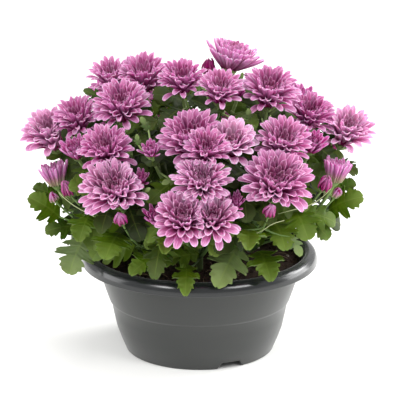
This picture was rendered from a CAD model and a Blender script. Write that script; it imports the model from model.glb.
# A potted chrysanthemum in a grey nursery bowl, with about forty double pink blooms over lobed leaves.
# The tables are in millimetres, and the meshes are in metres. The front of the plant faces -Y.
import math
import random

import bmesh
import bpy
from mathutils import Matrix, Vector
from mathutils.bvhtree import BVHTree
from mathutils.kdtree import KDTree


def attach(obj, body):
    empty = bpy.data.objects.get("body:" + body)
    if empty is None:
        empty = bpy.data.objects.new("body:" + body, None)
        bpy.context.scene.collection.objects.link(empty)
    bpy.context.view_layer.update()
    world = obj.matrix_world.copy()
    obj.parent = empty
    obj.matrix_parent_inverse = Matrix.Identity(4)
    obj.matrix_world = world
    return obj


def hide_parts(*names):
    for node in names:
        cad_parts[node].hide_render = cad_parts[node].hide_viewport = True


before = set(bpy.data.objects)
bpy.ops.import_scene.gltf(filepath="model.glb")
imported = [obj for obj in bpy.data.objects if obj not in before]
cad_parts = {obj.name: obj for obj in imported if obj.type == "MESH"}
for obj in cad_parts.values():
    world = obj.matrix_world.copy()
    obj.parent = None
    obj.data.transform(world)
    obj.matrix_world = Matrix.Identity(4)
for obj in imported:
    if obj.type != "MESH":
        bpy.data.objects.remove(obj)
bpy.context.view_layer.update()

mm = 0.001
up = Vector((0, 0, 1))
goldenTurn = 137.508


# Small tools


def linear(hexCode):  # the colour of an sRGB hex code
    parts = [int(hexCode[i:i + 2], 16) / 255 for i in (1, 3, 5)]
    return (*[p / 12.92 if p <= 0.04045 else ((p + 0.055) / 1.055) ** 2.4 for p in parts], 1)


def plug(material, node, links):  # a link is a socket, or a node whose first live output is meant
    for key, source in links.items():
        if isinstance(source, bpy.types.Node):
            source = next(socket for socket in source.outputs if socket.enabled)
        material.node_tree.links.new(source, node.inputs[key])


def addNode(material, kind, settings={}, links={}):
    node = material.node_tree.nodes.new("ShaderNode" + kind)
    for key, value in settings.items():
        if key == "stops":
            ramp = node.color_ramp.elements
            while len(ramp) < len(value):
                ramp.new(1)
            for stop, (place, colour) in zip(ramp, value):
                stop.position = place
                stop.color = linear(colour)
        elif isinstance(key, int) or not hasattr(node, key):
            node.inputs[key].default_value = value
        else:
            setattr(node, key, value)
    plug(material, node, links)
    return node


def newMaterial(name, settings):
    material = bpy.data.materials.new(name)
    material.use_nodes = True
    shader = material.node_tree.nodes["Principled BSDF"]
    for key, value in settings.items():
        shader.inputs[key].default_value = value
    return material, shader


def deselect():
    for piece in bpy.context.selected_objects:
        piece.select_set(False)


def makeActive(piece):
    deselect()
    piece.select_set(True)
    bpy.context.view_layer.objects.active = piece


def newest(name):  # names what an operator has just added
    piece = bpy.context.object
    piece.name = piece.data.name = name
    return piece


def editMode(on):
    bpy.ops.object.mode_set(mode="EDIT" if on else "OBJECT")
    if on:
        bpy.ops.mesh.select_mode(type="VERT")


def pick(test):  # in edit mode, selects the points that pass the test
    mesh = bmesh.from_edit_mesh(bpy.context.edit_object.data)
    for point in mesh.verts:
        point.select = bool(test(point.co))
    mesh.select_flush(True)
    mesh.select_flush(False)
    bmesh.update_edit_mesh(bpy.context.edit_object.data)


def applyAll(piece):
    makeActive(piece)
    for modifier in list(piece.modifiers):
        bpy.ops.object.modifier_apply(modifier=modifier.name)


def smooth(piece, angle):
    makeActive(piece)
    bpy.ops.object.shade_smooth_by_angle(angle=math.radians(angle))


def joinAll(pieces, name):
    deselect()
    for piece in pieces:
        piece.select_set(True)
    bpy.context.view_layer.objects.active = pieces[0]
    if len(pieces) > 1:
        bpy.ops.object.join()
    return newest(name)


def copyOf(source, matrix, marks={}):  # a copy with its own mesh, place and marks for the materials
    mesh = source.data.copy()
    mesh.transform(matrix)
    for name, value in marks.items():
        mesh.attributes[name].data.foreach_set("value", [value] * len(mesh.vertices))
    piece = bpy.data.objects.new(source.name, mesh)
    bpy.context.scene.collection.objects.link(piece)
    return piece


def around(radius, turn):
    return radius * math.cos(math.radians(turn)), radius * math.sin(math.radians(turn))


def hand(piece, node):  # the piece goes with the plant's body and stands for that node
    makeActive(piece)
    bpy.ops.object.transform_apply(location=True, rotation=True, scale=True)
    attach(piece, "root")
    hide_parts(node)


# Camera, floor and light


studio = {
    "cameraPlace": (0, -1.8, 0.665),
    "lookDown": 16.0,
    "lens": 173.0,
    "shiftX": 0.001,
    "farEnd": 30,
    "floorSize": 9.0,
    "floorHeight": -0.0002,  # just under the pot, so that the two don't share a face
    "floorColour": "#f6f6f4",
    "worldStrength": 0.75,
    "lampsLookAt": (0, 0, 0.15),
    "lamps": [  # place, size and power of each soft box
        ((-0.95, -1.4, 1.5), 0.75, 22),
        ((1.15, -1.25, 1.4), 0.75, 19),
        ((1.6, 0.9, 1.2), 0.9, 24),
        ((1.6, 0.5, 0.4), 1.0, 20),
        ((-1.7, 0.1, 0.45), 1.0, 10),
        ((0.1, 0.7, 1.9), 1.3, 16),
    ],
}


def makeStudio():
    scene = bpy.context.scene
    camera = bpy.data.objects.new("camera", bpy.data.cameras.new("camera"))
    scene.collection.objects.link(camera)
    camera.location = studio["cameraPlace"]
    camera.rotation_euler = (math.radians(90 - studio["lookDown"]), 0, 0)
    camera.data.lens = studio["lens"]
    camera.data.shift_x = studio["shiftX"]
    camera.data.clip_end = studio["farEnd"]
    scene.camera = camera
    scene.view_settings.view_transform = "Standard"

    deselect()
    bpy.ops.mesh.primitive_plane_add(size=studio["floorSize"], location=(0, 0, studio["floorHeight"]))
    floor = newest("floor")
    # Matt paper sweep: pale, and with no shine of its own.
    paper = {"Base Color": linear(studio["floorColour"]), "Roughness": 0.9, "Specular IOR Level": 0.1}
    floor.data.materials.append(newMaterial("matt paper sweep", paper)[0])

    world = bpy.data.worlds.new("studio")
    scene.world = world
    world.use_nodes = True
    sky = world.node_tree.nodes["Background"]
    sky.inputs["Color"].default_value = (1, 1, 1, 1)
    sky.inputs["Strength"].default_value = studio["worldStrength"]
    aim = Vector(studio["lampsLookAt"])
    for index, (place, size, power) in enumerate(studio["lamps"]):
        lamp = bpy.data.objects.new("lamp%d" % index, bpy.data.lights.new("lamp%d" % index, "AREA"))
        scene.collection.objects.link(lamp)
        lamp.data.size = size
        lamp.data.energy = power
        lamp.location = place
        lamp.visible_camera = False
        lamp.rotation_euler = (aim - Vector(place)).to_track_quat("-Z", "Y").to_euler()


makeStudio()
print("camera, floor and lamps are in place")


# The pot


pot = {
    "sides": 128,
    # Radius and height, from the middle of the inside floor out and up, over the lip, and down the outside.
    "profile": [
        (20, 10), (71.5, 10), (73.5, 11), (75, 14), (79.5, 24), (82.2, 36), (84.5, 49), (85.4, 50.6),
        (87, 52), (90.5, 61), (94, 72), (97, 81.5), (100.2, 89), (102.2, 95.6), (103.6, 98.3),
        (105.4, 99.6), (107.4, 100), (110, 99.4), (112.4, 98.2), (114, 96.3), (115, 94), (115.4, 91.2),
        (115.5, 88.3), (115.1, 87.7), (113.7, 87.7), (113.3, 88.2), (112.7, 92), (111.4, 94.6),
        (108.8, 96.6), (106, 96.8), (104, 95.2), (102.2, 91.8), (100.5, 87.2), (98.4, 80), (96, 72),
        (92.6, 61.4), (89.4, 52), (88.7, 50.4), (87.6, 49.4), (87, 48.6), (84.8, 37), (82, 24), (78.2, 13),
        (74, 3), (73.2, 0.8), (72, 0), (70, 0), (69.3, 0.8), (68.9, 7.2), (67.8, 8), (20, 8),
    ],
    "notchCount": 3, "notchTurn": -66, "footRadius": 73, "notchLength": 20,
    "notchWidths": (28, 19), "notchHeights": (-1, 7),  # of the cutter's lower and upper end
    "drainCount": 5, "drainRadius": 4, "drainCircle": 45, "drainHeight": 9, "drainDepth": 6, "drainSides": 24,
    "grey": "#262827", "greyLight": "#2e302e", "lipGrey": "#131618", "lipFrom": 87,
    "grainSize": 0.45,  # moulded grain, drawn coarser than the real 0.1 mm one so that it shows at all
}


def makePotMaterial():
    # Polypropylene, injection moulded: an even grey skin, softly shiny, with faint flow marks round the wall.
    # Fine dust makes it paler where it is seen edge-on. The lip is polished, and so darker.
    dusty = {"IOR": 1.52, "Sheen Weight": 0.2, "Sheen Roughness": 0.4}
    material, shader = newMaterial("moulded polypropylene", dusty)
    places = addNode(material, "TexCoord").outputs["Object"]
    flow = addNode(material, "Mapping", {"Scale": (14, 14, 60)}, {"Vector": places})
    cloud = addNode(material, "TexNoise", {"Scale": 1.4, "Detail": 3}, {"Vector": flow})
    greys = {"data_type": "RGBA", 6: linear(pot["grey"]), 7: linear(pot["greyLight"])}
    wall = addNode(material, "Mix", greys, {0: cloud})
    height = addNode(material, "SeparateXYZ", {}, {0: places}).outputs[2]
    edge = {"From Min": pot["lipFrom"] * mm, "From Max": (pot["lipFrom"] + 1) * mm}
    lip = addNode(material, "MapRange", edge, {"Value": height})
    whole = addNode(material, "Mix", {"data_type": "RGBA", 7: linear(pot["lipGrey"])}, {0: lip, 6: wall})
    dust = addNode(material, "TexNoise", {"Scale": 28, "Detail": 4}, {"Vector": places})
    rough = addNode(material, "MapRange", {"To Min": 0.32, "To Max": 0.46}, {"Value": dust})
    polish = addNode(material, "Math", {"operation": "MULTIPLY_ADD", 1: -0.18}, {0: lip, 2: rough})
    moulded = {"Scale": 1 / (pot["grainSize"] * mm), "Detail": 2}
    grain = addNode(material, "TexNoise", moulded, {"Vector": places})
    bump = addNode(material, "Bump", {"Strength": 0.08, "Distance": 0.1 * mm}, {"Height": grain})
    plug(material, shader, {"Base Color": whole, "Roughness": polish, "Normal": bump})
    return material


def turnUp(name, profile, sides):  # extrudes a ring along the profile, as on a potter's wheel
    deselect()
    radius, height = profile[0]
    bpy.ops.mesh.primitive_circle_add(vertices=sides, radius=radius * mm, location=(0, 0, 0),
                                      fill_type="NGON")
    piece = newest(name)
    editMode(True)
    bpy.ops.mesh.select_all(action="SELECT")
    bpy.ops.transform.translate(value=(0, 0, height * mm))
    bpy.ops.mesh.select_all(action="DESELECT")
    bpy.ops.mesh.select_mode(type="EDGE")
    bpy.ops.mesh.select_non_manifold()
    for (radius, height), (nextRadius, nextHeight) in zip(profile, profile[1:]):
        bpy.ops.mesh.extrude_edges_move()
        grow = nextRadius / radius
        bpy.ops.transform.resize(value=(grow, grow, 1), center_override=(0, 0, height * mm))
        bpy.ops.transform.translate(value=(0, 0, (nextHeight - height) * mm))
    bpy.ops.mesh.edge_face_add()
    bpy.ops.mesh.select_all(action="SELECT")
    bpy.ops.mesh.normals_make_consistent(inside=False)
    editMode(False)
    return piece


def cutWith(piece, cutter):
    cut = piece.modifiers.new("cut", "BOOLEAN")
    cut.operation = "DIFFERENCE"
    cut.object = cutter
    applyAll(piece)
    bpy.data.objects.remove(cutter, do_unlink=True)


def makePot():
    piece = turnUp("potBowl", pot["profile"], pot["sides"])
    for index in range(pot["notchCount"]):
        turn = pot["notchTurn"] + index * 360 / pot["notchCount"]
        deselect()
        bpy.ops.mesh.primitive_cube_add(size=1)
        cutter = newest("notchCutter")
        for point in cutter.data.vertices:
            end = 1 if point.co.z > 0 else 0
            out = pot["footRadius"] + point.co.x * pot["notchLength"]
            point.co = Vector((out, point.co.y * pot["notchWidths"][end], pot["notchHeights"][end])) * mm
        cutter.data.transform(Matrix.Rotation(math.radians(turn), 4, "Z"))
        cutWith(piece, cutter)
    for index in range(pot["drainCount"]):
        x, y = around(pot["drainCircle"], index * 360 / pot["drainCount"])
        place = Vector((x, y, pot["drainHeight"])) * mm
        deselect()
        bpy.ops.mesh.primitive_cylinder_add(vertices=pot["drainSides"], radius=pot["drainRadius"] * mm,
                                            depth=pot["drainDepth"] * mm, location=place)
        cutWith(piece, newest("drainCutter"))
    smooth(piece, 32)
    piece.data.materials.append(makePotMaterial())
    hand(piece, "pot")


makePot()
print("the pot is turned")


# The layout of the plant, as the frame has it: stems, branches, blooms and leaves


layout = {
    "stemTurns": {"front": -90, "front_right": -30, "back_right": 30, "back": 90, "back_left": 150,
                  "front_left": -150},
    "stemRadii": [(43, 62), (43, 95), (53, 120), (66, 150)],  # distance from the middle, and height
    "middleHeights": [62, 90, 130, 196],
    "domeMiddle": 130, "domeSize": (158, 145, 152), "domeRise": 0.55,
    "frontFacing": Vector((0, -0.669, 0.743)), "frontShare": 0.65, "frontLimit": 30,  # before y 30
    "ownFacing": {"bloom_01": Vector((0.25, -0.12, 0.96)), "bloom_12": Vector((-0.2, -0.05, 0.98)),
                  "bloom_25": Vector((0.2, -0.05, 0.98))},
    "shutCore": (0.78, 0.95), "openCore": (0.46, 0.38), "openRate": 1.5,  # radius and height
    "gap": 0.3, "nearby": 1.6,  # blooms nearer than that many times their radii share the room between them
}

blooms = {  # stem, x, y, z, radius, how far open
    "bloom_01": ("middle", 31, 14, 286, 27, 0.6),
    "bloom_02": ("front_right", 65, -42, 262, 29, 1.0),
    "bloom_03": ("middle", -16, -37, 272, 25, 0.9),
    "bloom_04": ("middle", 19, -56, 267, 24, 0.9),
    "bloom_05": ("middle", -54, 12, 264, 28, 1.0),
    "bloom_06": ("front_left", -72, -45, 249, 29, 1.0),
    "bloom_07": ("front_left", -141, -6, 212, 30, 0.9),
    "bloom_08": ("front_left", -116, -15, 230, 25, 0.9),
    "bloom_09": ("front_left", -85, -87, 218, 27, 1.0),
    "bloom_10": ("front_left", -116, -57, 212, 17, 0.6),
    "bloom_11": ("front_left", -76, -111, 187, 34, 1.0),
    "bloom_12": ("front_left", -138, -34, 183, 17, 0.4),
    "bloom_13": ("front", -6, -89, 226, 34, 1.0),
    "bloom_14": ("front", 6, -113, 225, 24, 1.0),
    "bloom_15": ("front", 28, -93, 225, 27, 0.9),
    "bloom_16": ("front", -44, -106, 225, 12, 0.6),
    "bloom_17": ("front", 2, -126, 200, 28, 0.9),
    "bloom_18": ("front", -15, -139, 169, 29, 1.0),
    "bloom_19": ("front", 12, -137, 169, 28, 1.0),
    "bloom_20": ("front_right", 69, -113, 194, 34, 1.0),
    "bloom_21": ("front_right", 76, -82, 223, 28, 0.9),
    "bloom_22": ("front_right", 105, -57, 218, 17, 0.6),
    "bloom_23": ("front_right", 140, -5, 215, 28, 0.9),
    "bloom_24": ("front_right", 104, -14, 233, 26, 0.9),
    "bloom_25": ("front_right", 129, -51, 191, 17, 0.4),
    "bloom_26": ("front", -39, -130, 169, 14, 0.5),
    "bloom_27": ("front", 32, -126, 182, 12, 0.5),
    "bloom_28": ("back", -24, 62, 246, 29, 1.0),
    "bloom_29": ("back_right", 66, 48, 244, 29, 1.0),
    "bloom_30": ("back", 20, 104, 226, 30, 1.0),
    "bloom_31": ("back_left", -84, 74, 232, 29, 1.0),
    "bloom_32": ("back_left", -128, 50, 208, 27, 0.9),
    "bloom_33": ("back_right", 100, 82, 218, 29, 1.0),
    "bloom_34": ("back_right", 132, 46, 196, 22, 0.8),
    "bloom_35": ("back", -46, 122, 204, 30, 1.0),
    "bloom_36": ("back", 30, 133, 184, 31, 1.0),
    "bloom_37": ("back_left", -100, 106, 186, 27, 0.9),
    "bloom_38": ("back_right", 92, 122, 176, 26, 0.9),
    "bloom_39": ("middle", 36, -20, 261, 10, 0.5),
    "bloom_40": ("back_left", -85, 20, 262, 24, 0.9),
    "bloom_41": ("front", -54, -104, 198, 11, 0.6),
    "bud_01": ("front_left", -72, -125, 168, 8, 0.1),
    "bud_02": ("front_right", 64, -124, 175, 8, 0.1),
    "bud_03": ("front_left", -124, -71, 181, 9, 0.2),
    "bud_04": ("front_right", 117, -79, 188, 9, 0.2),
    "bud_05": ("front_left", -138, -61, 170, 6, 0.0),
    "bud_06": ("front_right", 129, -70, 177, 6, 0.0),
    "bud_07": ("back_left", -140, 84, 176, 8, 0.1),
    "bud_08": ("back", 0, 146, 160, 8, 0.1),
    "bud_09": ("middle", -30, -8, 274, 8, 0.2),
    "bud_10": ("middle", 9, 8, 279, 9, 0.2),
}


def bloomFrame(name):  # middle, the way it faces and radius
    x, y, z, radius = blooms[name][1:5]
    reach = layout["domeSize"]
    rise = z - layout["domeMiddle"]
    outward = Vector((x / reach[0] ** 2, y / reach[1] ** 2, rise / reach[2] ** 2)).normalized()
    facing = (outward + layout["domeRise"] * up).normalized()
    if name in layout["ownFacing"]:
        facing = layout["ownFacing"][name].normalized()
    elif y < layout["frontLimit"]:
        facing = facing.lerp(layout["frontFacing"], layout["frontShare"]).normalized()
    return Vector((x, y, z)) * mm, facing, radius * mm


def neighbours(name):  # planes that part a bloom from the blooms round it, as a normal and a distance
    middle, facing, radius = bloomFrame(name)
    planes = []
    for other in blooms:
        otherMiddle, otherFacing, otherRadius = bloomFrame(other)
        away = otherMiddle - middle
        if other != name and away.length < (radius + otherRadius) * layout["nearby"]:
            share = radius / (radius + otherRadius)
            planes.append((away.normalized(), away.length * share - layout["gap"] * mm))
    return planes


def opened(shut, wide, opening):
    return shut + (wide - shut) * min(1, opening * layout["openRate"])


def coreSize(opening):
    return [opened(shut, wide, opening) for shut, wide in zip(layout["shutCore"], layout["openCore"])]


def readOff(table, share):  # a value off a table of (share, value) pairs
    for (low, first), (high, second) in zip(table, table[1:]):
        if share <= high:
            return first + (second - first) * (share - low) / (high - low)
    return table[-1][1]


# Petals


petal = {
    "columns": {"outer": 4, "spread": 4, "spoon": 4, "inner": 2, "shut": 4},
    "thickness": 0.02,  # of the length
    "rows": [0, 0.17, 0.38, 0.6, 0.8, 0.93, 1.0],
    # Width along the petal, how far its middle line lifts, and how far its edges curl up.
    "kinds": {
        "outer": ([0.3, 0.44, 0.68, 0.9, 1.0, 0.88, 0.52], [0, 0.06, 0.12, 0.14, 0.11, 0.05, -0.01],
                  [0.05, 0.05, 0.05, 0.045, 0.04, 0.03, 0.02]),
        "spread": ([0.34, 0.48, 0.7, 0.92, 1.0, 0.88, 0.52], [0, 0.03, 0.055, 0.06, 0.05, 0.02, -0.01],
                   [0.06, 0.07, 0.075, 0.075, 0.07, 0.055, 0.035]),
        "spoon": ([0.38, 0.54, 0.76, 0.96, 1.0, 0.88, 0.52], [0, -0.005, -0.015, -0.02, -0.01, 0.005, 0.025],
                  [0.07, 0.09, 0.105, 0.11, 0.1, 0.08, 0.06]),
        "inner": ([0.5, 0.66, 0.84, 1.0, 0.98, 0.82, 0.46], [0, -0.025, -0.045, -0.045, -0.02, 0.03, 0.1],
                  [0.08, 0.1, 0.11, 0.12, 0.115, 0.1, 0.08]),
        "shut": ([0.7, 0.85, 1.0, 1.0, 0.85, 0.65, 0.4], [0, -0.08, -0.13, -0.12, -0.06, -0.01, 0.04],
                 [0.05, 0.06, 0.07, 0.08, 0.08, 0.07, 0.05]),
    },
    "leans": (-0.07, 0.06), "tipForward": 0.03,  # how far two forms lean aside, and the point stands out
    "heart": "#8c1a58", "deep": "#6d0b3d", "edge": "#ebcde3", "streak": "#97386f", "unripe": "#b3b787",
    "face": ("#982e72", "#b96ca1", "#d29cc3"), "back": ("#a8468a", "#cc86bd", "#cc86bd"),  # from foot to tip
    "veinCount": 9, "marks": ("age", "tone", "unripe"),
}


def makePetalMaterial(back):
    # Living petal, a waxy film over coloured cells: matt with a soft sheen. The colour sits in fine veins
    # that run along it, is deepest at the foot and in the heart, and leaves the rim almost white.
    wax = {"Roughness": 0.6, "IOR": 1.4, "Specular IOR Level": 0.3, "Subsurface Weight": 0.5,
           "Subsurface Radius": (1.0, 0.4, 0.7), "Subsurface Scale": 2 * mm}
    material, shader = newMaterial("waxy petal, underside" if back else "waxy petal", wax)
    places = addNode(material, "UVMap", {"uv_map": "UVMap"})
    across, along = addNode(material, "SeparateXYZ", {}, {0: places}).outputs[:2]
    age, tone, unripe = [addNode(material, "Attribute", {"attribute_name": mark}).outputs["Fac"]
                         for mark in petal["marks"]]
    fromMiddle = addNode(material, "Math", {"operation": "SUBTRACT", 1: 0.5}, {0: across})
    off = addNode(material, "Math", {"operation": "ABSOLUTE"}, {0: fromMiddle})
    soft = {"interpolation_type": "SMOOTHSTEP", "From Min": 0.3, "From Max": 0.5}
    edge = addNode(material, "MapRange", soft, {"Value": off})
    low, middle, high = petal["back" if back else "face"]
    stops = [(0.0, petal["deep"]), (0.25, low), (0.6, middle), (0.95, high)]
    length = addNode(material, "ValToRGB", {"stops": stops}, {0: along})

    # The rim, which is paler towards the tip.
    paler = {"From Min": 0.3, "From Max": 0.9, "To Max": 0.65}
    tipward = addNode(material, "MapRange", paler, {"Value": along})
    old = addNode(material, "Math", {"operation": "SUBTRACT", 0: 1.0}, {1: age})
    paling = addNode(material, "Math", {"operation": "MULTIPLY"}, {0: old, 1: tipward})
    rim = addNode(material, "Math", {"operation": "MULTIPLY"}, {0: edge, 1: paling})
    rimmed = addNode(material, "Mix", {"data_type": "RGBA", 7: linear(petal["edge"])}, {0: rim, 6: length})

    # Veins: waves across the petal, broken up a little along it.
    spread = addNode(material, "CombineXYZ", {}, {1: tone, 2: tone})
    stretch = {"operation": "MULTIPLY_ADD", 1: (1, 0.25, 1)}
    shift = addNode(material, "VectorMath", stretch, {0: places, 2: spread})
    waves = {"Scale": petal["veinCount"], "Detail": 1.5, "Roughness": 0.6}
    veins = addNode(material, "TexNoise", waves, {"Vector": shift})
    contrast = {"From Min": 0.42, "From Max": 0.62, "To Max": 0.55}
    lines = addNode(material, "MapRange", contrast, {"Value": veins})
    inside = addNode(material, "Math", {"operation": "SUBTRACT", 0: 1.0}, {1: edge})
    streaks = addNode(material, "Math", {"operation": "MULTIPLY"}, {0: lines, 1: inside})
    streak = {"data_type": "RGBA", 7: linear(petal["streak"])}
    veined = addNode(material, "Mix", streak, {0: streaks, 6: rimmed})

    # Young petals in the middle are deeper, most of all low down.
    fade = addNode(material, "MapRange", {"To Min": 0.7, "To Max": 3.2}, {"Value": along})
    young = addNode(material, "Math", {"operation": "POWER"}, {0: age, 1: fade})
    aged = addNode(material, "Mix", {"data_type": "RGBA", 7: linear(petal["heart"])}, {0: young, 6: veined})
    light = addNode(material, "MapRange", {"clamp": False, "To Min": 0.85, "To Max": 1.15}, {"Value": tone})
    faded = addNode(material, "MapRange", {"clamp": False, "To Min": 1.12, "To Max": 0.82}, {"Value": tone})
    toned = addNode(material, "HueSaturation", {}, {"Saturation": faded, "Value": light, "Color": aged})

    # The petals of a cup that has only begun to open have pale green feet.
    feet = {"From Min": 0.15, "From Max": 0.5, "To Min": 1.0, "To Max": 0.0}
    lowDown = addNode(material, "MapRange", feet, {"Value": along})
    greening = addNode(material, "Math", {"operation": "MULTIPLY"}, {0: lowDown, 1: unripe})
    green = {"data_type": "RGBA", 7: linear(petal["unripe"])}
    footed = addNode(material, "Mix", green, {0: greening, 6: toned})
    ridges = addNode(material, "Bump", {"Strength": 0.35, "Distance": 0.25 * mm}, {"Height": veins})
    plug(material, shader, {"Base Color": footed, "Normal": ridges})
    return material


def giveWall(piece, thickness, materials, marks):  # a sheet gets its thickness, and a back of its own
    wall = piece.modifiers.new("wall", "SOLIDIFY")
    wall.thickness = thickness
    wall.offset = 0
    wall.material_offset = 1
    for material in materials:
        piece.data.materials.append(material)
    applyAll(piece)
    smooth(piece, 70)
    for mark in marks:
        piece.data.attributes.new(mark, "FLOAT", "POINT")
    return piece


def makePetal(kind, lean, materials):  # one petal a unit long and a unit wide, along Y from its foot
    widths, lifts, curls = petal["kinds"][kind]
    rows = petal["rows"]
    count = len(rows) - 1
    deselect()
    bpy.ops.mesh.primitive_grid_add(x_subdivisions=petal["columns"][kind], y_subdivisions=count, size=1,
                                    location=(0, 0, 0))
    piece = newest("petal_" + kind)
    editMode(True)
    # Each row from the tip down is moved two units on, where no other is, shaped there, and moved back.
    for row in range(count, -1, -1):
        was = row / count - 0.5
        pick(lambda place: abs(place.y - was) < 0.01)
        bpy.ops.transform.translate(value=(0, rows[row] - was + 2, lifts[row]))
        for side in (-1, 1):
            for inner, outer, share in ((0.4, 1, 1), (0.1, 0.4, 0.2)):
                pick(lambda place: inner < place.x * side < outer and place.y > 1.9 + rows[row])
                bpy.ops.transform.translate(value=(0, 0, curls[row] * share))
        pick(lambda place: place.y > 1.99 + rows[row])
        bpy.ops.transform.resize(value=(widths[row], 1, 1), center_override=(0, 0, 0))
        bpy.ops.transform.translate(value=(lean * rows[row] ** 2, -2, 0))
    pick(lambda place: place.y > 0.99 and abs(place.x - lean) < 0.12)
    bpy.ops.transform.translate(value=(0, petal["tipForward"], 0))
    editMode(False)
    return giveWall(piece, petal["thickness"], materials, petal["marks"])


head = {
    "cupBelow": 0.7, "budBelow": 0.3,  # how far open a bloom is that still counts as a cup, and as a bud
    "cupPetals": [(0, 24), (0.2, 40), (0.4, 96), (0.65, 72)],
    "petals": 112, "petalsRadius": 30, "petalsLimit": 1.1, "petalsPower": 1.6, "fewestPetals": 76,
    "lowAngle": [(0, 84), (0.2, 70), (0.4, 30), (0.65, 12), (1, -8)],
    "highAngle": (89, 84), "angleCurve": 0.65,
    "uplift": 14, "upliftFrom": 205,  # degrees by which petals that would hang are raised, above that height
    # By the petal's place from the outside, 0, to the middle, 1.
    "reach": [(0, 1.04), (0.4, 1.04), (0.52, 0.94), (0.65, 0.68), (0.8, 0.38), (1, 0.1)],
    "cupReach": [(0, 1.12), (0.3, 0.86), (0.6, 0.67), (1, 0.58)],
    "width": [(0, 0.225), (0.4, 0.215), (0.6, 0.17), (0.8, 0.125), (1, 0.08)],
    "kinds": [(0.2, "outer"), (0.48, "spread"), (0.75, "spoon"), (1.0, "inner")],
    # By how far open the bloom is.
    "cupWidth": [(0, 1.5), (0.2, 1.1), (0.4, 0.68), (0.7, 0.95), (1, 1)],  # a multiple of the width
    "footSpread": [(0, 0.8), (0.2, 0.7), (0.4, 0.4), (0.7, 0.24), (1, 0.24)],
    "footLeast": 0.02, "footDepth": 0.06, "footRise": 0.12,
    # How far petals differ from each other: turn, angle and roll in degrees, and shares of reach and width.
    "turnPlay": (-7, 7), "anglePlay": (-5, 5), "rollPlay": (-14, 14),
    "reachPlay": (0.93, 1.05), "widthPlay": (0.85, 1.12),
    "bloomTones": (0.1, 0.4), "petalTones": (0, 0.5), "cupAge": 0.5, "ageing": 1.12,
    "crossing": 3.5,  # how far a petal may lie over its neighbour's share
    "trials": 12, "raised": 5, "steepest": 88, "shortened": 0.95, "shortest": 0.3,  # how a petal is fitted in
    "heartWidth": 0.62, "heartTop": 0.1,
    # What sets single blooms apart: tone, age, how far the petals' feet are still green, multiples of the
    # petals' width and number, and the lowest petals' angle, how it rises inward and how much shorter the
    # inmost ones are.
    "own": {
        "bloom_01": {"tone": 0.4, "age": 0.05, "broad": 1.5, "crowd": 1.15, "shape": (12, 1.15, 0)},
        "bloom_07 bloom_23": {"tone": 0.5, "broad": 1.12, "crowd": 0.85},
        "bloom_08 bloom_24": {"tone": -0.1},
        "bloom_10 bloom_22": {"tone": -0.3, "age": 0.3, "crowd": 0.62},
        "bloom_11": {"tone": 0.25},
        "bloom_12 bloom_25": {"tone": -0.25, "age": 0.12, "green": 0.6, "broad": 1.3, "crowd": 0.95,
                              "shape": (32, 1.0, 0.4)},
        "bloom_14": {"tone": -0.1},
        "bloom_15": {"tone": 0.9, "broad": 1.25, "crowd": 0.75},
        "bloom_16": {"tone": -0.3, "age": 0.3, "crowd": 0.6},
        "bloom_17": {"tone": 0.4, "crowd": 1.5},
        "bloom_18 bloom_19": {"tone": 0.3, "broad": 1.12, "crowd": 0.85},
        "bloom_20": {"tone": 0.2},
        "bloom_26 bloom_27": {"tone": -0.35, "age": 0.4, "crowd": 0.5},
        "bloom_39": {"tone": -0.35, "age": 0.7, "crowd": 0.5},
        "bloom_41": {"tone": -0.35, "age": 0.45, "crowd": 0.5},
        "bud_01 bud_02": {"age": 0.6},
        "bud_03 bud_04": {"tone": -0.1, "age": 0.75},
        "bud_05 bud_06": {"age": 0.0, "green": 0.5},
        "bud_09 bud_10": {"tone": -0.3, "age": 0.9},
    },
}


def ownValues(name):
    return next((values for names, values in head["own"].items() if name in names), {})


def petalCount(radius, opening, crowd):
    size = min(head["petalsLimit"], radius / head["petalsRadius"])
    count = max(head["fewestPetals"], head["petals"] * size ** head["petalsPower"])
    if opening < head["cupBelow"]:
        count = readOff(head["cupPetals"], opening)
    return int(count * crowd)


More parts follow.
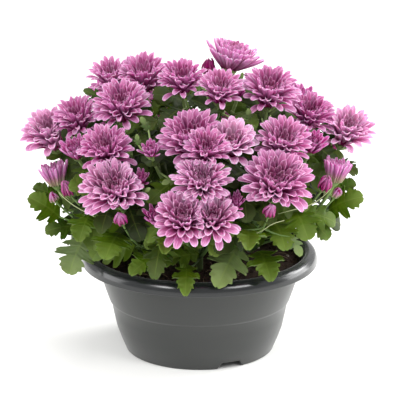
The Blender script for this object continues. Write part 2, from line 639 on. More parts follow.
def growBloom(name, kinds, core):
    z, size, opening = blooms[name][3:]
    middle, facing, radius = bloomFrame(name)
    own = ownValues(name)
    crowd = own.get("crowd", 1)
    cup = opening < head["cupBelow"]
    draw = random.Random(name)
    turn = facing.to_track_quat("Z", "Y").to_matrix()
    planes = neighbours(name)
    coreRadius, coreHeight = coreSize(opening)
    usual = (readOff(head["lowAngle"], opening), head["angleCurve"], 0)
    low, angleCurve, shorter = own.get("shape", usual)
    high = opened(*head["highAngle"], opening)
    count = petalCount(size, opening, crowd)
    start = draw.uniform(0, 360)
    bloomTone = draw.uniform(*head["bloomTones"]) + own.get("tone", 0)
    youth = own.get("age", head["cupAge"]) if cup else 0
    pieces = []
    for index in range(count):
        share = index / (count - 1)
        turnAngle = start + index * goldenTurn + draw.uniform(*head["turnPlay"])
        out = Vector((*around(1, turnAngle), 0))
        angle = low + (high - low) * share ** angleCurve + draw.uniform(*head["anglePlay"])
        if z > head["upliftFrom"]:
            angle += head["uplift"] * max(0, -(turn @ out).z) * (1 - share)
        reach = readOff(head["cupReach" if cup else "reach"], share) * draw.uniform(*head["reachPlay"])
        reach *= 1 - shorter * share
        footSpread = readOff(head["footSpread"], opening) * (1 - share) + head["footLeast"]
        footDepth = coreHeight - head["footDepth"] - head["footRise"] * share * opened(0, 1, opening)
        foot = out * footSpread - up * footDepth
        for trial in range(head["trials"]):
            tip = (out * math.cos(math.radians(angle)) + up * math.sin(math.radians(angle))) * reach
            outside = max([(turn @ tip * radius).dot(normal) - limit for normal, limit in planes], default=-1)
            if outside < head["crossing"] * mm:
                break
            angle = min(angle + head["raised"], head["steepest"])
            reach *= head["shortened"]
        length = (tip - foot).length
        if trial == head["trials"] - 1 or length < head["shortest"]:
            continue
        along = (tip - foot).normalized()
        side = up.cross(out).normalized()
        rise = along.cross(side).normalized()
        roll = Matrix.Rotation(math.radians(draw.uniform(*head["rollPlay"])), 3, along)
        width = readOff(head["width"], share) * readOff(head["cupWidth"], opening)
        width *= draw.uniform(*head["widthPlay"])
        width *= own.get("broad", 1) / math.sqrt(crowd)
        axes = [turn @ roll @ side * width, turn @ along * length, turn @ roll @ rise * length]
        matrix = Matrix(axes).transposed().to_4x4() @ Matrix.Scale(radius, 4)
        matrix.translation = middle + turn @ foot * radius
        kind = next(kind for limit, kind in head["kinds"] if share <= limit)
        if cup:
            kind = "shut" if opening < head["budBelow"] else "spoon" if share < 0.5 else "inner"
        marks = {"age": min(1, head["ageing"] * share + youth * (1 - share)), "unripe": own.get("green", 0),
                 "tone": bloomTone + draw.uniform(*head["petalTones"])}
        pieces.append(copyOf(kinds[kind][index % 2], matrix, marks))

    # The heart, a small dome that fills the middle under the inmost petals.
    top = opened(coreHeight, head["heartTop"], opening)
    width = coreRadius * head["heartWidth"] * radius
    place = Matrix.Translation(middle + turn @ up * (top - coreHeight) / 2 * radius)
    size = Matrix.Diagonal((width, width, (coreHeight + top) / 2 * radius, 1))
    pieces.append(copyOf(core, place @ turn.to_4x4() @ size, {"age": 1, "tone": 0, "unripe": 0}))
    hand(joinAll(pieces, "petals_" + name), name)


def makeBlooms():
    materials = [makePetalMaterial(False), makePetalMaterial(True)]
    kinds = {kind: [makePetal(kind, lean, materials) for lean in petal["leans"]] for kind in petal["kinds"]}
    deselect()
    bpy.ops.mesh.primitive_uv_sphere_add(segments=12, ring_count=8, radius=1)
    core = newest("core")
    for material in materials:
        core.data.materials.append(material)
    for mark in petal["marks"]:
        core.data.attributes.new(mark, "FLOAT", "POINT")
    smooth(core, 60)
    for name in blooms:
        growBloom(name, kinds, core)
    for piece in [core] + [piece for pair in kinds.values() for piece in pair]:
        bpy.data.objects.remove(piece, do_unlink=True)


makeBlooms()
print("the blooms are open")


# The soil


soil = {
    "bottom": [(5, 10.3), (72.2, 10.3), (84.2, 49), (97.8, 88)],
    "top": [(0, 92), (38, 91.5), (74, 90), (97.8, 88)],
    "ringStep": 3.2, "innermost": 2, "sides": 96, "roughSize": 7, "roughHeight": 3.4, "roughMiddle": 0.6,
    "crumbs": 900, "perlite": 16, "crumbSize": (0.8, 2.6), "crumbReach": 95, "dropHeight": 150,
    "fibres": 60, "fibreLength": (6, 20), "fibreReach": 92, "fibreRadii": [0.35, 0.3, 0.2],
    "fibreFoot": 0.6, "fibreArch": (1, 3),
    "dark": "#231a17", "brown": "#4c392f", "fibre": "#80684f", "white": "#c9c2b4",
}


def makeSoilMaterial():
    # Peat compost: damp, crumbly, and with no shine at all.
    material, shader = newMaterial("peat compost", {"Roughness": 0.95, "Specular IOR Level": 0.2})
    places = addNode(material, "TexCoord").outputs["Object"]
    clods = addNode(material, "TexNoise", {"Scale": 260, "Detail": 5, "Roughness": 0.7}, {"Vector": places})
    stops = [(0.35, soil["dark"]), (0.7, soil["brown"])]
    colour = addNode(material, "ValToRGB", {"stops": stops}, {0: clods})
    bump = addNode(material, "Bump", {"Strength": 0.8, "Distance": mm}, {"Height": clods})
    plug(material, shader, {"Base Color": colour, "Normal": bump})
    return material


def makeSoil():
    rim, rimHeight = soil["top"][-1]
    rings = []
    radius = rim - soil["ringStep"]
    while radius > soil["innermost"]:
        rings.append((radius, readOff(soil["top"], radius)))
        radius -= soil["ringStep"]
    piece = turnUp("soilBed", soil["bottom"] + rings, soil["sides"])
    group = piece.vertex_groups.new(name="top")
    group.add([point.index for point in piece.data.vertices if point.co.z > (rimHeight - 0.1) * mm
               and point.co.xy.length < (rim - 0.8) * mm], 1, "REPLACE")
    clouds = bpy.data.textures.new("clods", "CLOUDS")
    clouds.noise_scale = soil["roughSize"] * mm
    rough = piece.modifiers.new("rough", "DISPLACE")
    rough.texture = clouds
    rough.texture_coords = "LOCAL"
    rough.direction = "Z"
    rough.strength = soil["roughHeight"] * mm
    rough.mid_level = soil["roughMiddle"]
    rough.vertex_group = "top"
    applyAll(piece)
    smooth(piece, 60)
    peat = makeSoilMaterial()
    piece.data.materials.append(peat)
    surface = meshTree(piece)
    draw = random.Random(8)

    def spot(edge):  # a place on the surface
        x, y = around(edge * math.sqrt(draw.random()), draw.uniform(0, 360))
        return surface.ray_cast(Vector((x, y, soil["dropHeight"])) * mm, -up)[0]

    deselect()
    bpy.ops.mesh.primitive_ico_sphere_add(subdivisions=1, radius=mm)
    crumb = newest("crumb")
    heaps = {"crumbs": [], "perlite": []}
    for name in heaps:
        for index in range(soil[name]):
            size = Matrix.Diagonal((*[draw.uniform(*soil["crumbSize"]) for axis in range(3)], 1))
            turn = Matrix.Rotation(draw.uniform(0, 6.28), 4, Vector((draw.random(), draw.random(), 1)))
            heaps[name].append(copyOf(crumb, Matrix.Translation(spot(soil["crumbReach"])) @ turn @ size))
    bpy.data.objects.remove(crumb, do_unlink=True)
    # Expanded volcanic glass: white, dull and full of tiny holes.
    white = newMaterial("perlite", {"Base Color": linear(soil["white"]), "Roughness": 0.9})[0]
    # Dry plant fibre left in the peat, with no shine.
    straw = newMaterial("root fibre", {"Base Color": linear(soil["fibre"]), "Roughness": 0.8})[0]
    runs = []
    for index in range(soil["fibres"]):
        first = spot(soil["fibreReach"]) + up * soil["fibreFoot"] * mm
        x, y = around(draw.uniform(*soil["fibreLength"]), draw.uniform(0, 360))
        last = first + Vector((x, y, draw.uniform(-1, 1))) * mm
        middle = first.lerp(last, 0.5) + up * draw.uniform(*soil["fibreArch"]) * mm
        if last.xy.length < soil["crumbReach"] * mm:
            runs.append(([first, middle, last], soil["fibreRadii"]))
    fibres = makeRods("fibres", runs, straw)
    for name, material in (("crumbs", peat), ("perlite", white)):
        heap = joinAll(heaps[name], name)
        heap.data.materials.append(material)
        smooth(heap, 40)
        hand(heap, "soil")
    hand(fibres, "soil")
    hand(piece, "soil")


# Leaves, with the stems that carry them


leaf = {
    "columns": 3, "innerColumns": 2, "lobeSweep": 0.4,
    # Place along the midrib and half width there: two pairs of side lobes with blunt teeth, and an end lobe.
    "outline": [
        (0, 0.04), (0.012, 0.12), (0.03, 0.26), (0.055, 0.35), (0.085, 0.38), (0.11, 0.37), (0.135, 0.4),
        (0.16, 0.39), (0.18, 0.34), (0.195, 0.26), (0.207, 0.2), (0.222, 0.2), (0.235, 0.29), (0.252, 0.4),
        (0.28, 0.48), (0.315, 0.5), (0.345, 0.46), (0.375, 0.5), (0.41, 0.49), (0.44, 0.43), (0.46, 0.34),
        (0.475, 0.25), (0.492, 0.2), (0.512, 0.19), (0.53, 0.23), (0.56, 0.29), (0.6, 0.33), (0.635, 0.31),
        (0.665, 0.26), (0.7, 0.27), (0.74, 0.29), (0.78, 0.27), (0.82, 0.21), (0.86, 0.2), (0.9, 0.18),
        (0.94, 0.13), (0.975, 0.08), (1.0, 0.03),
    ],
    # The same with fewer points, for the leaves inside the plant.
    "innerOutline": [
        (0, 0.05), (0.03, 0.28), (0.08, 0.39), (0.15, 0.4), (0.2, 0.22), (0.23, 0.23), (0.27, 0.44),
        (0.34, 0.5), (0.42, 0.48), (0.47, 0.27), (0.51, 0.21), (0.57, 0.3), (0.66, 0.31), (0.76, 0.28),
        (0.86, 0.2), (0.94, 0.14), (1.0, 0.03),
    ],
    "thickness": 0.012,
    "forms": [  # arch of the midrib, lift of the edges, droop of the edges, wave along the blade
        (0.11, 0.06, -0.12, 0.015), (0.11, 0.14, -0.14, 0.02),
        (0.11, 0.0, -0.14, 0.02), (0.11, 0.1, 0.0, 0.03),
    ],
    "tones": [(0.0, "#182207"), (0.3, "#283706"), (0.55, "#435a02"), (0.75, "#4e6408"), (1.0, "#5a6842")],
    "vein": "#7d9138", "back": "#74845a", "backVein": "#9da97e", "young": "#9cad66",
    "veinPlaces": (0.09, 0.35, 0.64),  # where the side veins leave the midrib
    "size": (30, 38), "length": (38, 50), "shape": 0.62, "lean": 0.45, "tonePlay": (-0.05, 0.05),
    "waves": 17,  # how fast the wave runs along the blade, in radians over its length
    "front": 20, "facing": Vector((0, -0.85, 0.53)), "facingShare": 0.7,  # leaves before y 20 face that way
    "openTurns": (-140, 22), "openBelow": 130,  # the front, where the soil shows over the lip
}

largeLeaves = [  # stem, height on it, foot and tip of the blade, width, tone
    ("front_left", 112, (-111, -40, 122), (-124, -58, 92), 42, 0.95),
    ("front_left", 128, (-134, -34, 141), (-163, -40, 163), 34, 0.62),
    ("front_left", 136, (-134, -8, 151), (-161, -10, 164), 24, 0.4),
    ("front_left", 120, (-118, -16, 127), (-149, -22, 123), 28, 0.42),
    ("front_left", 126, (-103, -66, 155), (-112, -92, 135), 32, 0.6),
    ("front_left", 104, (-76, -82, 140), (-87, -112, 124), 40, 0.62),
    ("front", 110, (-40, -84, 119), (-64, -106, 107), 28, 0.6),
    ("front", 104, (-12, -94, 113), (-13, -128, 94), 26, 0.7),
    ("front", 122, (0, -96, 124), (-40, -120, 121), 24, 0.5),
    ("front", 116, (36, -90, 130), (16, -124, 101), 40, 0.9),
    ("front_right", 104, (56, -74, 120), (66, -110, 102), 36, 0.6),
    ("front_right", 118, (70, -72, 147), (79, -112, 133), 36, 0.6),
    ("front_right", 128, (90, -72, 159), (101, -90, 136), 38, 0.62),
    ("front_right", 114, (101, -54, 146), (122, -64, 129), 28, 0.45),
    ("front_right", 134, (123, -32, 148), (155, -42, 164), 36, 0.66),
    ("front_right", 138, (126, -8, 157), (151, -10, 168), 26, 0.45),
]
tiers = [  # height on the stem, radius and height of the foot and of the tip, turns from the stem's direction
    (104, 94, 110, 126, 94, (-20, 4, 24)),
    (118, 104, 132, 142, 120, (-26, 14)),
    (128, 112, 152, 150, 146, (-10, 26)),
    (140, 112, 172, 148, 180, (-20, 8)),
]
# How far they differ, in degrees and millimetres.
tierPlay = {"bearing": (-4, 4), "drop": (-6, 6), "tip": (-7, 7), "tones": (0.25, 0.45, 0.6, 0.8)}

branching = {
    # A branch leaves the stem so far under its bloom, no lower than that, and so far under the stem's top.
    "under": 75, "lowest": 104, "underTop": 2,
    "bend": 0.45, "middleAt": 0.45, "straight": 0.22, "straightLeast": 3,  # it ends along the bloom's axis
    # Leaves on the branches: where, each by how much further round, and how they stand.
    "spots": (0.8, 0.6, 0.35, 0.9, 0.7), "turn": 137.5, "forward": 0.35, "upward": 0.15,
    "stalk": (7, 12), "droop": (0.1, 0.4), "tones": (0, 0.5),
}


def stemNames():
    return [*layout["stemTurns"], "middle"]


def stemPath(stem):
    if stem == "middle":
        return [Vector((0, 0, height)) * mm for height in layout["middleHeights"]]
    return [Vector((*around(radius, layout["stemTurns"][stem]), height)) * mm
            for radius, height in layout["stemRadii"]]


def onStem(stem, height):
    path = stemPath(stem)
    for low, high in zip(path, path[1:]):
        if height * mm <= high.z:
            return low.lerp(high, (height * mm - low.z) / (high.z - low.z))
    return path[-1]


def branchPath(name):  # out from the main stem to the green cup, which it meets along the bloom's own axis
    stem, opening = blooms[name][0], blooms[name][5]
    middle, facing, radius = bloomFrame(name)
    top = stemPath(stem)[-1].z / mm - branching["underTop"]
    start = onStem(stem, min(max(middle.z / mm - branching["under"], branching["lowest"]), top))
    seat = middle - facing * (coreSize(opening)[1] * radius + layout["gap"] * mm)
    bend = seat - facing * (seat - start).length * branching["bend"]
    times = (0, branching["middleAt"])
    points = [start * (1 - t) ** 2 + bend * 2 * t * (1 - t) + seat * t ** 2 for t in times]
    straight = max(branching["straight"] * radius, branching["straightLeast"] * mm)
    return points + [seat - facing * straight, seat]


def tierLeaves():  # rings of leaves on the main stems
    found = []
    draw = random.Random(11)
    tones = random.Random(5)
    for stem, turn in layout["stemTurns"].items():
        for height, footRadius, footHeight, tipRadius, tipHeight, offsets in tiers:
            for offset in offsets:
                bearing = turn + offset + draw.uniform(*tierPlay["bearing"])
                drop = draw.uniform(*tierPlay["drop"])
                foot = Vector((*around(footRadius, bearing), footHeight + drop)) * mm
                tipBearing = bearing + draw.uniform(*tierPlay["tip"])
                tip = Vector((*around(tipRadius, tipBearing), tipHeight + drop)) * mm
                width = draw.uniform(*leaf["size"]) * mm
                if tipHeight < leaf["openBelow"] and leaf["openTurns"][0] < bearing < leaf["openTurns"][1]:
                    continue
                found.append((stem, onStem(stem, height), foot, tip, width, tones.choice(tierPlay["tones"])))
    return found, tones


def frameLeaves():  # every leaf that the frame tried, with its tone: stem, start, foot, tip, width, tone
    found = [(stem, onStem(stem, height), Vector(foot) * mm, Vector(tip) * mm, width * mm, tone)
             for stem, height, foot, tip, width, tone in largeLeaves]
    onStems, tones = tierLeaves()
    found += onStems
    for stem in stemNames():
        draw = random.Random("leaves of " + stem)
        turn = draw.uniform(0, 360)
        for share in branching["spots"]:
            for name in [name for name in blooms if blooms[name][0] == stem]:
                path = branchPath(name)
                turn += branching["turn"]
                low, high = path[:2] if share < 0.5 else path[1:3]
                start = low.lerp(high, share * 2 % 1)
                along = (high - low).normalized()
                out = along.orthogonal().normalized()
                out.rotate(Matrix.Rotation(math.radians(turn), 3, along))
                lean = (out + branching["forward"] * along + branching["upward"] * up).normalized()
                length = draw.uniform(*leaf["length"]) * mm
                foot = start + lean * draw.uniform(*branching["stalk"]) * mm
                tip = foot + lean * length - up * length * draw.uniform(*branching["droop"])
                tone = tones.uniform(*branching["tones"])
                found.append((stem, start, foot, tip, length * leaf["shape"], tone))
    return found


def keptLeaves():  # those whose tips are in the frame's own meshes
    trees = {}
    for stem in stemNames():
        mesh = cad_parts["leafy_stem_" + stem].data
        trees[stem] = KDTree(len(mesh.vertices))
        for point in mesh.vertices:
            trees[stem].insert(point.co, point.index)
        trees[stem].balance()
    return [found for found in frameLeaves() if trees[found[0]].find(found[3])[2] < 0.05 * mm]


def leafFrame(foot, tip, lean):  # across the blade, and up out of its face, which turns forward in front
    face = (Vector((foot.x, foot.y, 0)).normalized() * lean + up).normalized()
    if foot.y < leaf["front"] * mm:
        face = face.lerp(leaf["facing"], leaf["facingShare"])
    side = (tip - foot).cross(face).normalized()
    return side, side.cross(tip - foot).normalized()


def makeLeafMaterial(back):
    # Living leaf: a thin wax layer over green tissue, so dull with a broad soft shine. The midrib and side
    # veins are sunk and paler, the blade puckers between them, and its tone differs from leaf to leaf.
    tissue = {"Roughness": 0.62 if back else 0.55, "IOR": 1.45, "Specular IOR Level": 0.22,
              "Subsurface Weight": 0.15, "Subsurface Radius": (0.4, 1.0, 0.2), "Subsurface Scale": 1.5 * mm}
    material, shader = newMaterial("chrysanthemum leaf, underside" if back else "chrysanthemum leaf", tissue)
    # The map runs from 0 at the midrib to 1 at the edge, and along the midrib from 0 to 1.
    spots = addNode(material, "UVMap", {"uv_map": "UVMap"})
    across, along = addNode(material, "SeparateXYZ", {}, {0: spots}).outputs[:2]
    tone = addNode(material, "Attribute", {"attribute_name": "tone"}).outputs["Fac"]
    blade = addNode(material, "ValToRGB", {"stops": leaf["tones"]}, {0: tone})
    if back:
        blade = addNode(material, "Mix", {"data_type": "RGBA", 0: 0.45, 7: linear(leaf["back"])}, {6: blade})
    places = addNode(material, "TexCoord").outputs["Object"]
    patch = addNode(material, "TexNoise", {"Scale": 90, "Detail": 3}, {"Vector": places})
    patches = {"From Min": 0.3, "From Max": 0.7, "To Min": 0.85, "To Max": 1.15}
    light = addNode(material, "MapRange", patches, {"Value": patch})
    mottled = addNode(material, "HueSaturation", {}, {"Value": light, "Color": blade})
    rib = {"From Min": 0.03, "From Max": 0.1, "To Min": 1.0, "To Max": 0.0}
    total = addNode(material, "MapRange", rib, {"Value": across})
    for place in leaf["veinPlaces"]:
        gap = addNode(material, "Math", {"operation": "SUBTRACT", 1: place}, {0: along})
        off = addNode(material, "Math", {"operation": "ABSOLUTE"}, {0: gap})
        vein = {"From Min": 0.004, "From Max": 0.014, "To Min": 0.9, "To Max": 0.0}
        line = addNode(material, "MapRange", vein, {"Value": off})
        total = addNode(material, "Math", {"operation": "MAXIMUM"}, {0: total, 1: line})
    strength = addNode(material, "Math", {"operation": "MULTIPLY", 1: 0.4 if back else 0.16}, {0: total})
    pale = linear(leaf["backVein" if back else "vein"])
    veined = addNode(material, "Mix", {"data_type": "RGBA", 7: pale}, {0: strength, 6: mottled})
    # The end of a blade is its youngest part, and a paler green.
    youngest = {"From Min": 0.55, "From Max": 1.0, "To Max": 0.3}
    ending = addNode(material, "MapRange", youngest, {"Value": along})
    youth = addNode(material, "Math", {"operation": "MULTIPLY"}, {0: ending, 1: tone})
    green = addNode(material, "Mix", {"data_type": "RGBA", 7: linear(leaf["young"])}, {0: youth, 6: veined})
    pucker = addNode(material, "TexNoise", {"Scale": 420, "Detail": 2}, {"Vector": places})
    sunk = {"operation": "MULTIPLY_ADD", 1: 0.8 if back else -0.8}
    height = addNode(material, "Math", sunk, {0: total, 2: pucker})
    bump = addNode(material, "Bump", {"Strength": 0.4, "Distance": 0.35 * mm}, {"Height": height})
    plug(material, shader, {"Base Color": green, "Normal": bump})
    return material


def makeLeaf(name, form, rows, columns, materials):  # half a blade a unit long, then its mirror image
    arch, lift, droop, wave = form
    count = len(rows) - 1
    deselect()
    bpy.ops.mesh.primitive_grid_add(x_subdivisions=columns, y_subdivisions=count, size=1, location=(0, 0, 0))
    piece = newest(name)
    editMode(True)
    bpy.ops.mesh.select_all(action="SELECT")
    bpy.ops.transform.translate(value=(0.5, 0, 0))
    # The edge is lifted or let down, then each row is moved two units on, shaped there, and moved back.
    for column in range(1, columns + 1):
        across = column / columns
        pick(lambda place: abs(place.x - across) < 0.01)
        bpy.ops.transform.translate(value=(0, 0, lift * across * 0.5 + droop * (across * 0.5) ** 2))
    for row in range(count, -1, -1):
        place, half = rows[row]
        was = row / count - 0.5
        pick(lambda point: abs(point.y - was) < 0.01)
        depth = 1 if 0.15 < place < 0.95 else 0.5  # flatter at the foot and at the tip
        bpy.ops.transform.resize(value=(half, 1, depth), center_override=(0, 0, 0))
        ripple = wave * math.sin(place * leaf["waves"] + arch)
        bpy.ops.transform.translate(value=(0, place - was + 2, arch * 4 * place * (1 - place)))
        pick(lambda point: point.y > 1.99 + place and point.x > half * 0.9)
        bpy.ops.transform.translate(value=(0, 0, ripple))
    bpy.ops.mesh.select_all(action="SELECT")
    bpy.ops.transform.translate(value=(0, -2, 0))
    editMode(False)
    # The side lobes point forward.
    piece.data.transform(Matrix(((1, 0, 0, 0), (leaf["lobeSweep"], 1, 0, 0), (0, 0, 1, 0), (0, 0, 0, 1))))
    mirror = piece.modifiers.new("other half", "MIRROR")
    mirror.merge_threshold = 0.0001
    return giveWall(piece, leaf["thickness"], materials, ["tone"])


def placeLeaf(source, foot, tip, width, lean, tone):
    side, normal = leafFrame(foot, tip, lean)
    length = (tip - foot).length
    axes = Matrix([side * width, tip - foot, normal * length]).transposed().to_4x4()
    return copyOf(source, Matrix.Translation(foot) @ axes, {"tone": tone})


# Stems, leaf stalks and the green cups


stalk = {
    "stemRadius": 3.4, "stemEnd": 0.7, "branchRadius": 1.6, "budBranch": 0.6,
    "leafStalk": 1.1, "leafStalkThins": (1, 0.8, 0.7), "sag": 0.08, "rooted": 1.5, "underBlade": 0.06,
    "steps": 5, "sides": 2,
    "green": "#5d7a3c", "young": "#8fa565", "wood": "#4a5a30",
    "cupShare": 0.25, "budShare": 0.55, "smallBelow": 10,  # of a bloom's radius, and of one below that size
    "cupTop": 0.12, "bracts": 13, "bractSize": (0.2, 0.07, 0.55),
    "bractRings": ((1.0, 0.02, 24, 0), (0.88, -0.3, 34, 14)),  # radius, height, lean and start
    # Thin pale stalks that cross in front of the leaves.
    "pale": "#a5ae7e", "thin": 0.4,
    "crossings": {
        "front_left": [[(-124, -50, 164), (-132, -62, 174), (-121, -76, 168), (-107, -88, 163),
                        (-91, -96, 158), (-74, -84, 150)]],
        "front_right": [[(117, -54, 170), (123, -66, 179), (112, -78, 172), (99, -88, 168), (83, -96, 166),
                         (68, -84, 158)],
                        [(78, -100, 158), (65, -112, 157), (57, -114, 152), (48, -112, 148),
                         (36, -100, 142)]],
    },
}


def makeStalkMaterial(thin):
    # Soft green stem, ribbed along its length, its shine taken off by fine hairs. Thin stalks are paler.
    name = "thin pale stalk" if thin else "green stem"
    material, shader = newMaterial(name, {"Roughness": 0.6, "IOR": 1.45})
    places = addNode(material, "TexCoord").outputs["Object"]
    stretched = addNode(material, "Mapping", {"Scale": (1, 1, 0.15)}, {0: places})
    ribs = addNode(material, "TexNoise", {"Scale": 900, "Detail": 2}, {"Vector": stretched})
    height = addNode(material, "SeparateXYZ", {}, {0: places}).outputs[2]
    rise = addNode(material, "MapRange", {"From Min": 90 * mm, "From Max": 230 * mm}, {0: height})
    stops = [(0, stalk["wood"]), (0.35, stalk["green"]), (1, stalk["young"])]
    if thin:
        stops = [(0, stalk["pale"]), (1, stalk["pale"])]
    colour = addNode(material, "ValToRGB", {"stops": stops}, {0: rise})
    light = addNode(material, "MapRange", {"To Min": 0.7, "To Max": 1.2}, {0: ribs})
    toned = addNode(material, "HueSaturation", {}, {"Value": light, "Color": colour})
    bump = addNode(material, "Bump", {"Strength": 0.4, "Distance": 0.2 * mm}, {"Height": ribs})
    plug(material, shader, {"Base Color": toned, "Normal": bump})
    return material


def makeRods(name, runs, material):  # each run is a list of points and a list of radii in millimetres
    curve = bpy.data.curves.new(name, "CURVE")
    curve.dimensions = "3D"
    curve.bevel_depth = mm
    curve.bevel_resolution = stalk["sides"]
    curve.resolution_u = stalk["steps"]
    curve.use_fill_caps = True
    for points, radii in runs:
        spline = curve.splines.new("BEZIER")
        spline.bezier_points.add(len(points) - 1)
        for knot, point, radius in zip(spline.bezier_points, points, radii):
            knot.co = point
            knot.radius = radius
            knot.handle_left_type = knot.handle_right_type = "AUTO"
    piece = bpy.data.objects.new(name, curve)
    bpy.context.scene.collection.objects.link(piece)
    makeActive(piece)
    bpy.ops.object.convert(target="MESH")
    piece = newest(name)
    editMode(True)
    bpy.ops.mesh.select_all(action="SELECT")
    bpy.ops.mesh.remove_doubles(threshold=0.00001)
    bpy.ops.mesh.normals_make_consistent(inside=False)
    editMode(False)
    piece.data.materials.clear()
    piece.data.materials.append(material)
    smooth(piece, 60)
    return piece


def makeCup(material):  # a unit cup that stands on Z: its bowl, and two rings of bracts round it
    deselect()
    bpy.ops.mesh.primitive_uv_sphere_add(segments=16, ring_count=8, radius=1)
    bowl = newest("cup")
    editMode(True)
    pick(lambda place: place.z > 0.01)
    bpy.ops.transform.resize(value=(1, 1, stalk["cupTop"]), center_override=(0, 0, 0))
    editMode(False)
    deselect()
    bpy.ops.mesh.primitive_uv_sphere_add(segments=6, ring_count=4, radius=1)
    bract = newest("bract")
    bract.data.transform(Matrix.Diagonal((*stalk["bractSize"], 1)))
    pieces = [bowl]
    for radius, height, lean, start in stalk["bractRings"]:
        for index in range(stalk["bracts"]):
            turn = Matrix.Rotation(math.radians(start + index * 360 / stalk["bracts"]), 4, "Z")
            tilt = Matrix.Rotation(math.radians(-lean), 4, "X")
            pieces.append(copyOf(bract, turn @ Matrix.Translation((0, radius, height)) @ tilt))
    bpy.data.objects.remove(bract, do_unlink=True)
    cup = joinAll(pieces, "cup")
    cup.data.materials.append(material)
    smooth(cup, 50)
    return cup


filling = {  # leaves that fill the plant between the frame's own
    "young": [  # small ones that show between the blooms: foot and tip of the blade, width, tone
        ((-90, -4, 249), (-111, -2, 259), 12, 0.35), ((-47, -72, 236), (-54, -76, 250), 9, 1.0),
        ((45, -62, 244), (45, -66, 256), 9, 1.0), ((51, -70, 229), (50, -74, 242), 7, 1.0),
        ((-56, -96, 228), (-57, -100, 240), 7, 1.0), ((13, -112, 214), (28, -118, 210), 9, 1.0),
        ((-20, -112, 201), (-34, -118, 198), 9, 1.0), ((35, 0, 261), (41, -2, 276), 7, 1.0),
        ((83, -100, 143), (93, -112, 127), 14, 1.1), ((-54, -118, 186), (-45, -122, 195), 7, 1.0),
        ((-109, -22, 206), (-126, -27, 176), 26, 0.3), ((-99, -30, 199), (-123, -34, 182), 24, 0.15),
        ((-118, -24, 147), (-135, -28, 160), 16, 0.2), ((110, -16, 198), (138, -18, 196), 22, 0.45),
        ((113, -24, 208), (130, -28, 192), 20, 0.25), ((-44, -88, 192), (-56, -94, 210), 16, 0.25),
        ((127, 2, 206), (118, 8, 223), 20, 0.25), ((-136, 17, 194), (-131, 19, 218), 18, 0.25),
        ((-116, 0, 195), (-148, -2, 191), 18, 0.4),
    ],
    "rings": [  # angle from straight up, how many leaves, and share of the way out to the dome
        (10, 5, 0.76), (24, 10, 0.72), (36, 15, 0.78), (47, 20, 0.72), (57, 24, 0.79), (66, 28, 0.72),
        (75, 32, 0.8), (84, 32, 0.74), (92, 34, 0.82), (100, 32, 0.76), (107, 30, 0.84),
        (12, 4, 0.5), (30, 9, 0.5), (45, 13, 0.53), (58, 17, 0.52), (70, 20, 0.56), (80, 22, 0.56),
        (90, 22, 0.6), (98, 22, 0.62), (40, 8, 0.34), (65, 10, 0.36), (85, 12, 0.38), (97, 14, 0.42),
        (106, 20, 0.66), (104, 18, 0.5), (94, 24, 0.7), (86, 22, 0.68), (78, 18, 0.66),
    ],
    "clearFrom": 105, "lowest": 108,  # outside the pot no tip hangs lower than this
    # Nothing hides these places along a large leaf's midrib from the front, over this distance.
    "clearPlaces": (0.2, 0.5, 0.8), "clearWay": Vector((0, -0.96, 0.28)), "clearDepth": 80,
    "clearStep": 2,  # the look starts that far before the leaf
    "tries": 3, "openFrom": 72, "reach": 37, "spin": 75, "outward": 0.3, "lean": 1.5, "longestStalk": 45,
    # How far the leaves differ: angle and turn in degrees, and shares of distance, reach and width.
    "anglePlay": (-5, 5), "turnPlay": (-7, 7), "scalePlay": (0.94, 1.04), "reachPlay": (0.85, 1.2),
    "widthPlay": (0.7, 0.85), "tones": (0.1, 0.2, 0.3, 0.4, 0.5, 0.65),
    "branchPlaces": (0.2, 0.5, 0.8),  # where a stalk may leave each half of a branch
    "hanging": 2,  # how much longer a stalk counts for each millimetre that it hangs down
    "bladeMiddle": 0.55, "bladeArch": 0.11,
}


def fillLeaves(branches):  # more leaves on the branches, round a dome just inside the blooms
    draw = random.Random(23)
    found = []
    for foot, tip, width, tone in filling["young"]:
        foot = Vector(foot) * mm
        stem, start = min(branches, key=lambda spot: (spot[1] - foot).length)
        found.append((stem, start, foot, Vector(tip) * mm, width * mm, tone))
    size = layout["domeSize"]
    turns = leaf["openTurns"]
    for ring, (polar, count, share) in enumerate(filling["rings"]):
        for index in range(count * filling["tries"]):
            angle = math.radians(polar + draw.uniform(*filling["anglePlay"]))
            turn = 360 * (index + 0.5 * (ring % 2)) / count + draw.uniform(*filling["turnPlay"])
            out = Vector((*around(math.sin(angle), turn), math.cos(angle)))
            scale = share * draw.uniform(*filling["scalePlay"])
            foot = Vector([out[axis] * size[axis] * scale for axis in range(3)]) + up * layout["domeMiddle"]
            foot *= mm
            down = (out * out.z - up).normalized()
            down.rotate(Matrix.Rotation(math.radians(draw.uniform(-1, 1) * filling["spin"]), 3, out))
            along = (down + out * draw.uniform(0, 2) * filling["outward"]).normalized()
            tip = foot + along * filling["reach"] * draw.uniform(*filling["reachPlay"]) * mm
            inFront = turns[0] < math.degrees(math.atan2(tip.y, tip.x)) < turns[1]
            if inFront and tip.z < leaf["openBelow"] * mm and tip.xy.length > filling["openFrom"] * mm:
                continue
            if tip.z < filling["lowest"] * mm and tip.xy.length > filling["clearFrom"] * mm:
                continue
            stem, start = min(branches, key=lambda spot: (spot[1] - foot).length
                              + max(0, spot[1].z - foot.z) * filling["hanging"])
            if (start - foot).length < filling["longestStalk"] * mm:
                width = (tip - foot).length * draw.uniform(*filling["widthPlay"])
                found.append((stem, start, foot, tip, width, draw.choice(filling["tones"])))
    return found


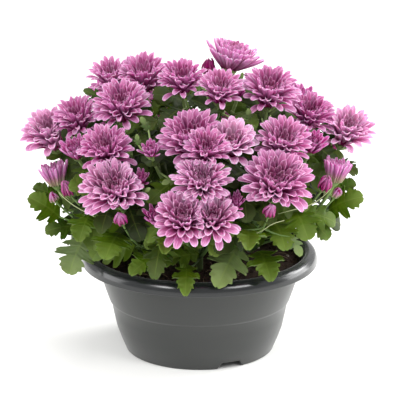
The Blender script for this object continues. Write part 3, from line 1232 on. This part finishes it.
def bladeTree(foot, tip, width, lean):  # a thin outline of a blade, to test what it would meet
    side, normal = leafFrame(foot, tip, lean)
    length = (tip - foot).length
    middle = foot.lerp(tip, filling["bladeMiddle"]) + normal * length * filling["bladeArch"]
    points = [foot, middle - side * width * 0.5, middle, middle + side * width * 0.5, tip]
    return BVHTree.FromPolygons(points, [(0, 1, 2), (0, 2, 3), (1, 4, 2), (2, 4, 3)])


def meshTree(piece):
    points = [point.co for point in piece.data.vertices]
    return BVHTree.FromPolygons(points, [list(face.vertices) for face in piece.data.polygons])


def growBranches(cup):  # what each stem's rods and cups are, and where leaf stalks may start
    runs = {}
    cups = {}
    starts = []
    for stem in stemNames():
        path = stemPath(stem)
        runs[stem] = [(path, [stalk["stemRadius"] * share for share in (1, 1, 1, stalk["stemEnd"])])]
        cups[stem] = []
        starts += [(stem, point) for point in path[1:]]
    for name in blooms:
        stem, x, y, z, size, opening = blooms[name]
        path = branchPath(name)
        small = size < stalk["smallBelow"]
        thin = stalk["branchRadius"] * (stalk["budBranch"] if small else 1)
        runs[stem].append((path, [stalk["branchRadius"], thin, thin, thin]))
        radius = stalk["budShare" if small else "cupShare"] * size * mm
        turn = bloomFrame(name)[1].to_track_quat("Z", "Y").to_matrix().to_4x4()
        shape = Matrix.Diagonal((radius, radius, radius, 1))
        cups[stem].append(copyOf(cup, Matrix.Translation(path[-1]) @ turn @ shape))
        for share in filling["branchPlaces"]:
            starts += [(stem, low.lerp(high, share)) for low, high in (path[:2], path[1:3])]
    return runs, cups, starts


def placesInView(leaves):  # on the large leaves, which no leaf of the filling may hide
    tips = [Vector(row[3]) * mm for row in largeLeaves]
    return [tip.lerp(foot, 1 - share) + filling["clearWay"] * filling["clearStep"] * mm
            for sources, lean, stem, start, foot, tip, width, tone in leaves
            for share in filling["clearPlaces"] if min((end - tip).length for end in tips) < 0.1 * mm]


def chooseLeaves(fine, coarse, starts):  # the frame's own leaves, and those of the filling that touch nothing
    leaves = [(fine, leaf["lean"], *found) for found in keptLeaves()]
    print(len(leaves), "leaves are the frame's")
    shown = placesInView(leaves)
    placed = [meshTree(bpy.data.objects["petals_" + name]) for name in blooms]
    placed += [meshTree(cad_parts["pot"]), meshTree(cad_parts["soil"])]
    placed += [bladeTree(*found[4:7], found[1]) for found in leaves]
    for found in fillLeaves(starts):
        tree = bladeTree(*found[2:5], filling["lean"])
        if any(tree.ray_cast(spot, filling["clearWay"], filling["clearDepth"] * mm)[0] for spot in shown):
            continue
        if not any(tree.overlap(other) for other in placed):
            placed.append(tree)
            leaves.append((coarse, filling["lean"], *found))
    print(len(leaves), "leaves in all")
    return leaves


def makeGreenery():
    materials = [makeLeafMaterial(False), makeLeafMaterial(True)]
    fine = [makeLeaf("leaf%d" % index, form, leaf["outline"], leaf["columns"], materials)
            for index, form in enumerate(leaf["forms"])]
    coarse = [makeLeaf("innerLeaf%d" % index, form, leaf["innerOutline"], leaf["innerColumns"], materials)
              for index, form in enumerate(leaf["forms"])]
    green = makeStalkMaterial(False)
    pale = makeStalkMaterial(True)
    cup = makeCup(green)
    runs, cups, starts = growBranches(cup)
    blades = {stem: [] for stem in stemNames()}
    radii = [stalk["leafStalk"] * thin for thin in stalk["leafStalkThins"]]
    draw = random.Random(3)
    for sources, lean, stem, start, foot, tip, width, tone in chooseLeaves(fine, coarse, starts):
        source = draw.choice(sources)
        tone += draw.uniform(*leaf["tonePlay"])
        blades[stem].append(placeLeaf(source, foot, tip, width, lean, tone))
        inStem = start - (foot - start).normalized() * stalk["rooted"] * mm
        sag = start.lerp(foot, 0.5) - up * (foot - start).length * stalk["sag"]
        runs[stem].append(([inStem, sag, foot + (tip - foot) * stalk["underBlade"]], radii))
    for stem in stemNames():
        rods = [makeRods("rods_" + stem, runs[stem], green)]
        lines = [([Vector(point) * mm for point in line], [stalk["thin"]] * len(line))
                 for line in stalk["crossings"].get(stem, [])]
        if lines:
            rods.append(makeRods("thin_" + stem, lines, pale))
        hand(joinAll(rods + cups[stem], "stems_" + stem), "leafy_stem_" + stem)
        hand(joinAll(blades[stem], "leaves_" + stem), "leafy_stem_" + stem)
    for piece in fine + coarse + [cup]:
        bpy.data.objects.remove(piece, do_unlink=True)


makeSoil()
print("the soil is in")
makeGreenery()
print("stems and leaves are in place")
